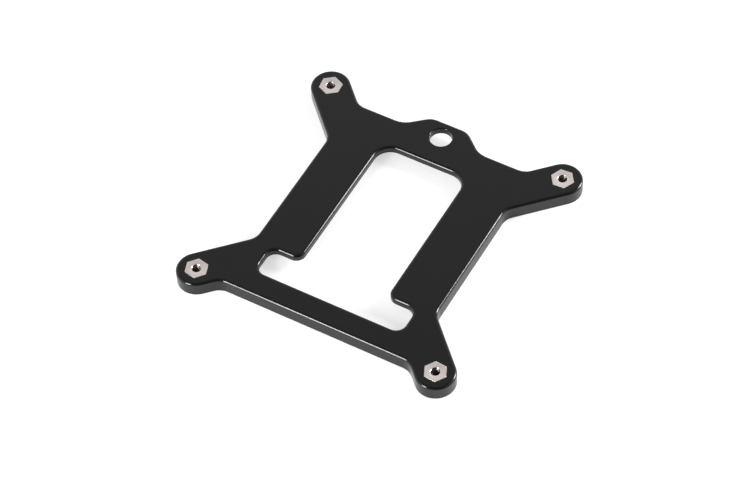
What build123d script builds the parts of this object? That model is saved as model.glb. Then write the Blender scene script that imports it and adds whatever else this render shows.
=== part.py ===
# Mounting back plate of a processor cooler: a moulded plastic frame with four threaded metal inserts.
# X runs along the front edge, +Y points at the rear tab, and Z=0 is the plane of the underside rim.
from build123d import *
import os
from math import radians, sqrt, tan

# Driving dimensions, in millimetres and degrees

# Square fixing pattern, and the round-ended arms that reach out to it
PATTERN_PITCH = 75.0
ARM_RADIUS = 5.8

# How far the edges of the body stand back from the ends of the arms
SIDE_STEP = 14.8
FRONT_STEP = 5.45
REAR_STEP = 8.35
ARM_BLEND = 4.95

# Rear tab, with a hole that clears a screw of the socket frame
TAB_RISE = 5.5
TAB_HALF_TOP = 5.8
TAB_SLOPE = 40.0
TAB_CORNER = 5.05
TAB_BLEND = 6.75
TAB_HOLE_DIAMETER = 6.5
TAB_HOLE_WALL = 2.2
TAB_HOLE_EDGE = 0.3

# T-shaped window, given by the widths of the bars around it
SIDE_BAR = 14.85
REAR_BAR = 9.35
FRONT_BAR = 7.4
SLOT_END_WALL = 5.55
SLOT_WIDTH = 9.0
WINDOW_CORNER = 5.05
SHOULDER_CORNER = 2.85
SLOT_CORNER = 3.0

# Section of the moulding: a web over an underside recess, inside a rim
PLATE_HEIGHT = 4.7
WEB_THICKNESS = 2.1
RIM_WIDTH = 2.4
RECESS_CORNER = 0.8
TOP_EDGE_RADIUS = 0.8
LOWER_EDGE_BREAK = 0.3

# Hexagonal insert with an internal thread, held by a groove that the plastic fills
INSERT_FLATS = 6.0
THREAD_MINOR = 2.5
THREAD_SINK = 0.15
GROOVE_DEPTH = 0.5
GROOVE_WIDTH = 1.0

# Direction in which one corner of each hexagon points: they lie in the mould as they fell
FRONT_LEFT_ANGLE = 49.3
FRONT_RIGHT_ANGLE = 55.2
REAR_LEFT_ANGLE = 37.0
REAR_RIGHT_ANGLE = 4.9

# Positions worked out from the driving dimensions
HALF_PITCH = PATTERN_PITCH / 2
ARM_REACH = HALF_PITCH + ARM_RADIUS
SIDE_REACH = ARM_REACH - SIDE_STEP
FRONT_REACH = ARM_REACH - FRONT_STEP
REAR_REACH = ARM_REACH - REAR_STEP
TAB_TOP = REAR_REACH + TAB_RISE
TAB_HALF_ROOT = TAB_HALF_TOP + TAB_RISE / tan(radians(TAB_SLOPE))
TAB_GAP_HALF = TAB_HALF_ROOT + TAB_BLEND * tan(radians(TAB_SLOPE / 2))
TAB_HOLE_RADIUS = TAB_HOLE_DIAMETER / 2
TAB_HOLE_CENTRE = TAB_TOP - TAB_HOLE_WALL - TAB_HOLE_RADIUS
WINDOW_HALF = SIDE_REACH - SIDE_BAR
WINDOW_REAR = REAR_REACH - REAR_BAR
SLOT_HALF = SIDE_REACH - SLOT_END_WALL
SLOT_FRONT = FRONT_BAR - FRONT_REACH
SLOT_REAR = SLOT_FRONT + SLOT_WIDTH
RECESS_HEIGHT = PLATE_HEIGHT - WEB_THICKNESS

# Side in X, side in Y and angle of each insert
INSERTS = {
    "insert_front_left": (-1, -1, FRONT_LEFT_ANGLE),
    "insert_front_right": (1, -1, FRONT_RIGHT_ANGLE),
    "insert_rear_left": (-1, 1, REAR_LEFT_ANGLE),
    "insert_rear_right": (1, 1, REAR_RIGHT_ANGLE),
}


def mirrored(points):
    """Close a right-hand run of points, listed from front to rear, with its mirror image."""
    return points + [(-x, y) for x, y in reversed(points)]


def corners_at(sketch, places):
    """The sketch's vertices at the given places and at their mirror images in X."""
    wanted = [Vector(side * x, y) for x, y in places for side in (-1, 1)]
    return [min(sketch.vertices(), key=lambda v: (Vector(v) - place).length) for place in wanted]


def at_insert(shape, side_x, side_y):
    """Move a shape to one corner of the fixing pattern."""
    return Pos(side_x * HALF_PITCH, side_y * HALF_PITCH) * shape


def outline():
    """Outer outline: a body whose corners lie on the arms' centre lines, crossed arms and a tab."""
    body = Polygon(
        *mirrored([
            (FRONT_REACH, -FRONT_REACH),
            (SIDE_REACH, -SIDE_REACH),
            (SIDE_REACH, SIDE_REACH),
            (REAR_REACH, REAR_REACH),
        ]),
        align=None,
    )
    arm = SlotCenterToCenter(PATTERN_PITCH * sqrt(2), 2 * ARM_RADIUS)
    tab = Polygon(
        *mirrored([
            (TAB_HALF_TOP, WINDOW_REAR),
            (TAB_HALF_ROOT, REAR_REACH),
            (TAB_HALF_TOP, TAB_TOP),
        ]),
        align=None,
    )
    sketch = body + Rot(0, 0, 45) * arm + Rot(0, 0, -45) * arm + tab

    # An arm's side lies this far from its centre line, measured along X or Y
    arm_side = ARM_RADIUS * sqrt(2)
    arm_roots = [
        (FRONT_REACH - arm_side, -FRONT_REACH),
        (SIDE_REACH, arm_side - SIDE_REACH),
        (SIDE_REACH, SIDE_REACH - arm_side),
        (REAR_REACH - arm_side, REAR_REACH),
    ]
    sketch = fillet(corners_at(sketch, arm_roots), ARM_BLEND)
    sketch = fillet(corners_at(sketch, [(TAB_HALF_ROOT, REAR_REACH)]), TAB_BLEND)
    return fillet(corners_at(sketch, [(TAB_HALF_TOP, TAB_TOP)]), TAB_CORNER)


def window():
    """T-shaped window: a wide slot at the front and a narrower opening behind it."""
    sketch = Polygon(
        *mirrored([
            (SLOT_HALF, SLOT_FRONT),
            (SLOT_HALF, SLOT_REAR),
            (WINDOW_HALF, SLOT_REAR),
            (WINDOW_HALF, WINDOW_REAR),
        ]),
        align=None,
    )
    slot_ends = [(SLOT_HALF, SLOT_FRONT), (SLOT_HALF, SLOT_REAR)]
    sketch = fillet(corners_at(sketch, slot_ends), SLOT_CORNER)
    sketch = fillet(corners_at(sketch, [(WINDOW_HALF, SLOT_REAR)]), SHOULDER_CORNER)
    return fillet(corners_at(sketch, [(WINDOW_HALF, WINDOW_REAR)]), WINDOW_CORNER)


def recess():
    """Underside recess: all that lies inside the rim, round the bosses, and out under the tab."""
    sketch = offset(outline(), amount=-RIM_WIDTH)
    for side_x, side_y, _ in INSERTS.values():
        sketch -= at_insert(Circle(ARM_RADIUS), side_x, side_y)
        insert_centre = Vector(side_x * HALF_PITCH, side_y * HALF_PITCH)
        boss_corners = sketch.vertices().sort_by_distance(insert_centre)[:2]
        sketch = fillet(boss_corners, RECESS_CORNER)
    sketch += Pos(0, WINDOW_REAR) * Rectangle(
        2 * TAB_GAP_HALF, TAB_TOP, align=(Align.CENTER, Align.MIN)
    )
    sketch = fillet(corners_at(sketch, [(TAB_GAP_HALF, REAR_REACH - RIM_WIDTH)]), RECESS_CORNER)
    return extrude(sketch, RECESS_HEIGHT)


def insert_envelope(angle):
    """Outer form of an insert: a hexagon bar as high as the plate, with a turned groove."""
    hexagon = RegularPolygon(INSERT_FLATS / 2, 6, major_radius=False, rotation=angle)
    groove = Circle(INSERT_FLATS) - Circle(INSERT_FLATS / 2 - GROOVE_DEPTH)
    groove_start = (PLATE_HEIGHT - GROOVE_WIDTH) / 2
    return extrude(hexagon, PLATE_HEIGHT) - Pos(0, 0, groove_start) * extrude(groove, GROOVE_WIDTH)


def insert(angle):
    """Threaded insert: its envelope with a tapping bore, countersunk at both ends."""
    minor = THREAD_MINOR / 2
    mouth = minor + THREAD_SINK
    bore_section = Polygon(
        (0, 0),
        (mouth, 0),
        (minor, THREAD_SINK),
        (minor, PLATE_HEIGHT - THREAD_SINK),
        (mouth, PLATE_HEIGHT),
        (0, PLATE_HEIGHT),
        align=None,
    )
    return insert_envelope(angle) - revolve(Plane.XZ * bore_section, Axis.Z)


def back_plate():
    """Moulded plate: outline less window, edges rounded, underside recessed, tab hole, insert seats."""
    plate = extrude(outline() - window(), PLATE_HEIGHT)
    plate = fillet(plate.faces().sort_by(Axis.Z)[-1].edges(), TOP_EDGE_RADIUS)
    plate = chamfer(plate.faces().sort_by(Axis.Z)[0].outer_wire().edges(), LOWER_EDGE_BREAK)
    plate -= recess()

    # The hole's edge is less rounded than the rest, and the only closed edge of the top face
    plate -= Pos(0, TAB_HOLE_CENTRE) * extrude(Circle(TAB_HOLE_RADIUS), PLATE_HEIGHT)
    top_edges = plate.faces().sort_by(Axis.Z)[-1].edges()
    plate = fillet(top_edges.filter_by(lambda edge: edge.is_closed), TAB_HOLE_EDGE)

    for side_x, side_y, angle in INSERTS.values():
        plate -= at_insert(insert_envelope(angle), side_x, side_y)
    return plate


def main():
    os.makedirs("parts", exist_ok=True)
    export_step(back_plate(), "parts/back_plate.step")
    for name, (side_x, side_y, angle) in INSERTS.items():
        export_step(at_insert(insert(angle), side_x, side_y), f"parts/{name}.step")


main()
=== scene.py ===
"""Looks of the cooler mounting back plate: black moulding, plated threaded inserts, white table."""
import math

import bpy
from mathutils import Matrix, Vector


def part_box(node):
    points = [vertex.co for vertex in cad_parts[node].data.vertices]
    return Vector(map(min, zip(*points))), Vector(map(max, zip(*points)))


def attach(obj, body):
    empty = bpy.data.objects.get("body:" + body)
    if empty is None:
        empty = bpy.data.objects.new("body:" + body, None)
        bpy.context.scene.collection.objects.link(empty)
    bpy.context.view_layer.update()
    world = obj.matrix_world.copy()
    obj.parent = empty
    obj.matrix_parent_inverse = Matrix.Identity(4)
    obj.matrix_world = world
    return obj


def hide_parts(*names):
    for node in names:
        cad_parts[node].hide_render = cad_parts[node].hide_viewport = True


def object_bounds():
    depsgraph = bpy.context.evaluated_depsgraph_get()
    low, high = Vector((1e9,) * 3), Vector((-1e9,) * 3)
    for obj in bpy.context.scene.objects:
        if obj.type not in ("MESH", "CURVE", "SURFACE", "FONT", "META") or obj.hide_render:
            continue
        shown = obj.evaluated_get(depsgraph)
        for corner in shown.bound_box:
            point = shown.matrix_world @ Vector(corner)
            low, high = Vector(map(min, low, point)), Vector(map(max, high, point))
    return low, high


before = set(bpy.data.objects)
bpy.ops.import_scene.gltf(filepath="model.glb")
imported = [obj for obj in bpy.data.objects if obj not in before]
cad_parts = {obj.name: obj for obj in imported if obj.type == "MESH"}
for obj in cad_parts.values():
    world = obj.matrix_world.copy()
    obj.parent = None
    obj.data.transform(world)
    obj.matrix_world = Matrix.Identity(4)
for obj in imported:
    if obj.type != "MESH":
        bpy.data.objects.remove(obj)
cad_low, cad_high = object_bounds()

MM = 0.001

# Picture that the camera is set for: angles in degrees, focal length in pixels of that picture
PICTURE_WIDTH = 750
SENSOR_WIDTH = 36.0
FOCAL_PIXELS = 3039.6
CAMERA_AZIMUTH = 31.65
CAMERA_ELEVATION = 52.28
CAMERA_ROLL = -3.18
CAMERA_DISTANCE = 840.6 * MM
AIM_X = 3.11 * MM
AIM_Y = -9.07 * MM

# Threaded insert: hexagon bar with a turned groove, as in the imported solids, and a cut M3 thread
INSERT_FLATS = 6.0 * MM
INSERT_CHAMFER = 0.03 * MM
GROOVE_DEPTH = 0.5 * MM
GROOVE_WIDTH = 1.0 * MM
THREAD_MINOR = 2.5 * MM
THREAD_MAJOR = 3.0 * MM
THREAD_PITCH = 0.5 * MM
THREAD_SINK = 0.15 * MM
MOUTH_ROUND = 0.06 * MM
MOUTH_DROP = 0.25 * MOUTH_ROUND
ROUND_STEPS = 72
STEPS_PER_PITCH = 10
SHARP_ANGLE = 28

# Direction in which one corner of each hexagon points, in degrees
INSERT_ANGLES = {
    "insert_front_left": 49.3,
    "insert_front_right": 55.2,
    "insert_rear_left": 37.0,
    "insert_rear_right": 4.9,
}

# Black moulding: a fine grain over a broad cloud of tone and gloss
GRAIN_SCALE = 2600.0
GRAIN_DEPTH = 0.02 * MM
CLOUD_SCALE = 60.0
PLASTIC_NOISE_DETAIL = 3.0
PLASTIC_NOISE_ROUGHNESS = 0.5
PLASTIC_DARK = (0.0046, 0.0046, 0.0048, 1.0)
PLASTIC_LIGHT = (0.0064, 0.0064, 0.0067, 1.0)
PLASTIC_ROUGHNESS = 0.11
CLOUD_ROUGHNESS = 0.05
GRAIN_ROUGHNESS = 0.03
PLASTIC_IOR = 1.48

# Plated metal: turned rings, patches of tone and gloss, and painted shade that darkens the bore below its
# mouths
RING_SCALE = 4200.0
RING_DISTORTION = 1.2
RING_DETAIL = 2.0
RING_STRENGTH = 0.25
RING_DEPTH = 0.008 * MM
PATCH_SCALE = 900.0
PATCH_DETAIL = 4.0
PATCH_NOISE_ROUGHNESS = 0.6
METAL_DARK = (0.88, 0.80, 0.775, 1.0)
METAL_LIGHT = (0.96, 0.875, 0.84, 1.0)
# Painted shade: near-black colour of the bore below its mouths, standing in for the shade inside the hole
BORE_PAINTED_SHADE = (0.004, 0.0028, 0.0024, 1.0)
BORE_SHADE_START_DEPTH = 0.08 * MM
BORE_SHADE_FULL_DEPTH = 0.22 * MM
METAL_ROUGHNESS = 0.40
PATCH_ROUGHNESS = 0.1
BORE_SMOOTHNESS = 0.24

# Studio: white table, a strip lamp on either side, white walls, dim ceiling, dark on the camera's side
TABLE_HALF = 1.5
TABLE_COLOUR = (0.62, 0.62, 0.62, 1.0)
TABLE_GLOW = 0.61
TABLE_MIRRORED_GLOW = 0.46
WALL_LIGHT = 1.0
CEILING_LIGHT = 0.22
WALL_TOP = 0.62
CEILING_EDGE = 0.92
FRONT_LIGHT = 0.05
FRONT_START = 0.25
FRONT_EDGE = 0.65


class Graph:
    """The nodes of one material: makes a node from its type, its settings and its sockets."""

    def __init__(self, tree):
        self.tree = tree
        self.tree.nodes.clear()

    def node(self, kind, settings=None, out=0, **sockets):
        """Add a node, set it up, feed its sockets and give back one of its outputs."""
        made = self.tree.nodes.new(kind)
        for name, value in (settings or {}).items():
            setattr(made, name, value)
        for name, value in sockets.items():
            self.feed(made.inputs[socket_key(name)], value)
        return Value(self, made.outputs[out]) if len(made.outputs) else made

    def feed(self, socket, value):
        """Link a value to a socket, or set a plain number, colour or vector on it."""
        if isinstance(value, Value):
            self.tree.links.new(value.socket, socket)
        else:
            socket.default_value = value

    def maths(self, operation, *terms):
        """Add a Math node on numbers and values."""
        sockets = {f"at_{index}": term for index, term in enumerate(terms)}
        return self.node("ShaderNodeMath", {"operation": operation}, **sockets)


def socket_key(name):
    """A socket's place for a name such as at_2, and else its label: base_color gives Base Color."""
    if name.startswith("at_"):
        return int(name[3:])
    return name.replace("_", " ").title().replace("Ior", "IOR")


class Value:
    """An output socket that takes part in Python arithmetic, which adds Math nodes."""

    def __init__(self, graph, socket):
        self.graph = graph
        self.socket = socket

    def __add__(self, other):
        return self.graph.maths("ADD", self, other)

    def __radd__(self, other):
        return self.graph.maths("ADD", other, self)

    def __sub__(self, other):
        return self.graph.maths("SUBTRACT", self, other)

    def __rsub__(self, other):
        return self.graph.maths("SUBTRACT", other, self)

    def __mul__(self, other):
        return self.graph.maths("MULTIPLY", self, other)

    def __rmul__(self, other):
        return self.graph.maths("MULTIPLY", other, self)


def material(name):
    """A new material with an empty node tree."""
    made = bpy.data.materials.new(name)
    made.use_nodes = True
    return made, Graph(made.node_tree)


def moulded_plastic():
    """Black moulding: fine spark-eroded grain, slight flow mottling and uneven gloss."""
    made, graph = material("moulded_plastic")
    place = graph.node("ShaderNodeTexCoord", out="Object")
    grain = graph.node(
        "ShaderNodeTexNoise",
        vector=place,
        scale=GRAIN_SCALE,
        detail=PLASTIC_NOISE_DETAIL,
        roughness=PLASTIC_NOISE_ROUGHNESS,
    )
    cloud = graph.node(
        "ShaderNodeTexNoise",
        vector=place,
        scale=CLOUD_SCALE,
        detail=PLASTIC_NOISE_DETAIL,
        roughness=PLASTIC_NOISE_ROUGHNESS,
    )
    tone = graph.node(
        "ShaderNodeMix",
        {"data_type": "RGBA"},
        out=2,
        at_0=cloud,
        at_6=PLASTIC_DARK,
        at_7=PLASTIC_LIGHT,
    )
    bump = graph.node("ShaderNodeBump", strength=1.0, distance=GRAIN_DEPTH, height=grain)
    surface = graph.node(
        "ShaderNodeBsdfPrincipled",
        base_color=tone,
        roughness=PLASTIC_ROUGHNESS + CLOUD_ROUGHNESS * cloud + GRAIN_ROUGHNESS * grain,
        normal=bump,
        ior=PLASTIC_IOR,
    )
    graph.node("ShaderNodeOutputMaterial", surface=surface)
    return made


def insert_metal(half_height):
    """Plated steel, faced on a lathe: fine rings about the axis, a faintly warm tone, and a thread
    darkened by painted shade below its mouths.
    """
    made, graph = material("insert_metal")
    place = graph.node("ShaderNodeTexCoord", out="Object")
    rings = graph.node(
        "ShaderNodeTexWave",
        {"wave_type": "RINGS", "rings_direction": "Z", "wave_profile": "SIN"},
        vector=place,
        scale=RING_SCALE,
        distortion=RING_DISTORTION,
        detail=RING_DETAIL,
    )
    patches = graph.node(
        "ShaderNodeTexNoise",
        vector=place,
        scale=PATCH_SCALE,
        detail=PATCH_DETAIL,
        roughness=PATCH_NOISE_ROUGHNESS,
    )
    face_tone = graph.node(
        "ShaderNodeMix",
        {"data_type": "RGBA"},
        out=2,
        at_0=patches,
        at_6=METAL_DARK,
        at_7=METAL_LIGHT,
    )
    flat_place = graph.node(
        "ShaderNodeVectorMath",
        {"operation": "MULTIPLY"},
        at_0=place,
        at_1=(1.0, 1.0, 0.0),
    )
    radius = graph.node("ShaderNodeVectorMath", {"operation": "LENGTH"}, out="Value", at_0=flat_place)
    in_bore = graph.maths("LESS_THAN", radius, THREAD_MINOR / 2 + THREAD_SINK)
    height = graph.node("ShaderNodeSeparateXYZ", out="Z", vector=place)
    depth = half_height - graph.maths("ABSOLUTE", height - half_height)
    # Painted shade: below each mouth the bore's colour fades to near black, standing in for the shade
    # inside the hole
    painted_shade_amount = graph.node(
        "ShaderNodeMapRange",
        {"interpolation_type": "SMOOTHSTEP"},
        value=depth,
        from_min=BORE_SHADE_START_DEPTH,
        from_max=BORE_SHADE_FULL_DEPTH,
    )
    tone = graph.node(
        "ShaderNodeMix",
        {"data_type": "RGBA"},
        out=2,
        at_0=in_bore * painted_shade_amount,
        at_6=face_tone,
        at_7=BORE_PAINTED_SHADE,
    )
    bump = graph.node("ShaderNodeBump", strength=RING_STRENGTH, distance=RING_DEPTH, height=rings)
    surface = graph.node(
        "ShaderNodeBsdfPrincipled",
        base_color=tone,
        metallic=1.0,
        roughness=METAL_ROUGHNESS + PATCH_ROUGHNESS * patches - BORE_SMOOTHNESS * in_bore,
        normal=bump,
    )
    graph.node("ShaderNodeOutputMaterial", surface=surface)
    return made


def table_white():
    """White table that shows clean white to the eye and in reflections, and keeps the soft shadow."""
    made, graph = material("table_white")
    seen = graph.node("ShaderNodeLightPath", out="Is Camera Ray")
    mirrored = graph.node("ShaderNodeLightPath", out="Is Glossy Ray")
    seen_through = graph.node("ShaderNodeLightPath", out="Is Transmission Ray")
    light = TABLE_GLOW * (seen + seen_through) + TABLE_MIRRORED_GLOW * mirrored
    paper = graph.node("ShaderNodeBsdfDiffuse", color=TABLE_COLOUR)
    glow = graph.node("ShaderNodeEmission", strength=light)
    surface = graph.node("ShaderNodeAddShader", at_0=paper, at_1=glow)
    graph.node("ShaderNodeOutputMaterial", surface=surface)
    return made


def ring_of(radius_at, height):
    """One ring of points about the Z axis at one height, whose radius may change with the angle."""
    ring = []
    for step in range(ROUND_STEPS):
        angle = 2 * math.pi * step / ROUND_STEPS
        radius = radius_at(angle)
        ring.append((radius * math.cos(angle), radius * math.sin(angle), height))
    return ring


def circle(radius):
    """Radius of a circle, the same at every angle."""
    return lambda angle: radius


def hexagon(flats):
    """Radius of a hexagon with a corner at angle 0, given its width across the flats."""
    sector = math.pi / 3
    return lambda angle: flats / 2 / math.cos(angle % sector - sector / 2)


def thread_bore(height, total):
    """Radius of the threaded bore at one height: a triangular thread that runs out at both mouths."""
    depth = min(height, total - height)
    sink = (THREAD_MINOR / 2 + THREAD_SINK) - depth
    cut = (THREAD_MAJOR - THREAD_MINOR) / 2 * min(1.0, depth / THREAD_PITCH)

    def radius_at(angle):
        phase = (height / THREAD_PITCH - angle / (2 * math.pi)) % 1.0
        crest = 1 - abs(2 * phase - 1)
        return max(THREAD_MINOR / 2 + cut * crest, sink)

    return radius_at


def insert_mesh(name, total):
    """Closed mesh of an insert, a loop of rings: up the bore, over the top, down outside and under."""
    apothem = INSERT_FLATS / 2
    mouth = THREAD_MINOR / 2 + THREAD_SINK
    groove_low = (total - GROOVE_WIDTH) / 2
    groove_high = groove_low + GROOVE_WIDTH
    face = INSERT_FLATS - 2 * INSERT_CHAMFER
    lip = mouth + MOUTH_ROUND

    turns = round(total / THREAD_PITCH)
    levels = turns * STEPS_PER_PITCH
    rings = []
    for level in range(1, levels):
        height = total * level / levels
        rings.append(ring_of(thread_bore(height, total), height))
    rings += [
        ring_of(circle(mouth), total - MOUTH_DROP),
        ring_of(circle(lip), total),
        ring_of(hexagon(face), total),
        ring_of(hexagon(INSERT_FLATS), total - INSERT_CHAMFER),
        ring_of(hexagon(INSERT_FLATS), groove_high),
        ring_of(circle(apothem - GROOVE_DEPTH), groove_high),
        ring_of(circle(apothem - GROOVE_DEPTH), groove_low),
        ring_of(hexagon(INSERT_FLATS), groove_low),
        ring_of(hexagon(INSERT_FLATS), INSERT_CHAMFER),
        ring_of(hexagon(face), 0.0),
        ring_of(circle(lip), 0.0),
        ring_of(circle(mouth), MOUTH_DROP),
    ]

    points = [point for ring in rings for point in ring]
    faces = []
    for index in range(len(rings)):
        here = index * ROUND_STEPS
        there = (index + 1) % len(rings) * ROUND_STEPS
        for step in range(ROUND_STEPS):
            after = (step + 1) % ROUND_STEPS
            faces.append((here + step, there + step, there + after, here + after))
    mesh = bpy.data.meshes.new(name)
    mesh.from_pydata(points, [], faces)
    mesh.validate()
    mesh.shade_smooth()
    mesh.set_sharp_from_angle(angle=math.radians(SHARP_ANGLE))
    return mesh


def dress_inserts(metal):
    """Put a threaded mesh in the place of each insert."""
    for node, corner_angle in INSERT_ANGLES.items():
        low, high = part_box(node)
        name = "threaded_" + node
        piece = bpy.data.objects.new(name, insert_mesh(name, high.z - low.z))
        bpy.context.scene.collection.objects.link(piece)
        piece.data.materials.append(metal)
        piece.location = ((low.x + high.x) / 2, (low.y + high.y) / 2, low.z)
        piece.rotation_euler.z = math.radians(corner_angle)
        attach(piece, "root")
        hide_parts(node)


def dress_plate(plastic):
    """Give the moulded plate its finish."""
    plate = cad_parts["back_plate"]
    plate.data.materials.clear()
    plate.data.materials.append(plastic)


def table():
    """The flat white table that the plate lies on."""
    signs = ((-1, -1), (1, -1), (1, 1), (-1, 1))
    corners = [(x * TABLE_HALF, y * TABLE_HALF, cad_low.z) for x, y in signs]
    mesh = bpy.data.meshes.new("table")
    mesh.from_pydata(corners, [], [(0, 1, 2, 3)])
    made = bpy.data.objects.new("table", mesh)
    bpy.context.scene.collection.objects.link(made)
    mesh.materials.append(table_white())


def strip_lamp(name, azimuth, elevation, distance, width, height, brightness):
    """A strip lamp that faces the origin: angles in degrees from +X towards +Y, watts per square metre."""
    lamp = bpy.data.lights.new(name, "AREA")
    lamp.shape = "RECTANGLE"
    lamp.size = width
    lamp.size_y = height
    lamp.energy = brightness * width * height
    made = bpy.data.objects.new(name, lamp)
    bpy.context.scene.collection.objects.link(made)
    flat = math.cos(math.radians(elevation))
    place = distance * Vector((
        flat * math.cos(math.radians(azimuth)),
        flat * math.sin(math.radians(azimuth)),
        math.sin(math.radians(elevation)),
    ))
    made.location = place
    made.rotation_euler = (-place).to_track_quat("-Z", "Y").to_euler()


def room():
    """Room light: white walls that dim upwards into the ceiling, and a dark side where the camera is."""
    world = bpy.data.worlds.new("room")
    bpy.context.scene.world = world
    world.use_nodes = True
    graph = Graph(world.node_tree)
    direction = graph.node("ShaderNodeTexCoord", out="Generated")
    height = graph.node("ShaderNodeSeparateXYZ", out="Z", vector=direction)
    walls = graph.node(
        "ShaderNodeMapRange",
        {"interpolation_type": "SMOOTHSTEP"},
        value=height,
        from_min=WALL_TOP,
        from_max=CEILING_EDGE,
        to_min=WALL_LIGHT,
        to_max=CEILING_LIGHT,
    )
    azimuth = math.radians(CAMERA_AZIMUTH)
    nearness = graph.node(
        "ShaderNodeVectorMath",
        {"operation": "DOT_PRODUCT"},
        out="Value",
        at_0=direction,
        at_1=(math.sin(azimuth), -math.cos(azimuth), 0.0),
    )
    front = graph.node(
        "ShaderNodeMapRange",
        {"interpolation_type": "SMOOTHSTEP"},
        value=nearness,
        from_min=FRONT_START,
        from_max=FRONT_EDGE,
        to_min=1.0,
        to_max=FRONT_LIGHT,
    )
    surface = graph.node("ShaderNodeBackground", strength=walls * front)
    graph.node("ShaderNodeOutputWorld", surface=surface)


def camera():
    """Camera that looks down at the top face from the front right."""
    azimuth = math.radians(CAMERA_AZIMUTH)
    elevation = math.radians(CAMERA_ELEVATION)
    back = Vector((
        math.sin(azimuth) * math.cos(elevation),
        -math.cos(azimuth) * math.cos(elevation),
        math.sin(elevation),
    ))
    aim = Vector((AIM_X, AIM_Y, cad_high.z))
    data = bpy.data.cameras.new("camera")
    data.sensor_width = SENSOR_WIDTH
    data.lens = FOCAL_PIXELS / PICTURE_WIDTH * SENSOR_WIDTH
    made = bpy.data.objects.new("camera", data)
    bpy.context.scene.collection.objects.link(made)
    turn = (-back).to_track_quat("-Z", "Y").to_matrix().to_4x4()
    roll = Matrix.Rotation(math.radians(CAMERA_ROLL), 4, "Z")
    made.matrix_world = Matrix.Translation(aim + back * CAMERA_DISTANCE) @ turn @ roll
    bpy.context.scene.camera = made


dress_plate(moulded_plastic())
dress_inserts(insert_metal((cad_high.z - cad_low.z) / 2))
table()
strip_lamp(
    "lamp_left",
    azimuth=-108,
    elevation=22,
    distance=0.38,
    width=0.11,
    height=0.2,
    brightness=71,
)
strip_lamp(
    "lamp_right",
    azimuth=43.5,
    elevation=24,
    distance=0.5,
    width=0.15,
    height=0.26,
    brightness=72,
)
room()
camera()
bpy.context.scene.view_settings.view_transform = "Standard"
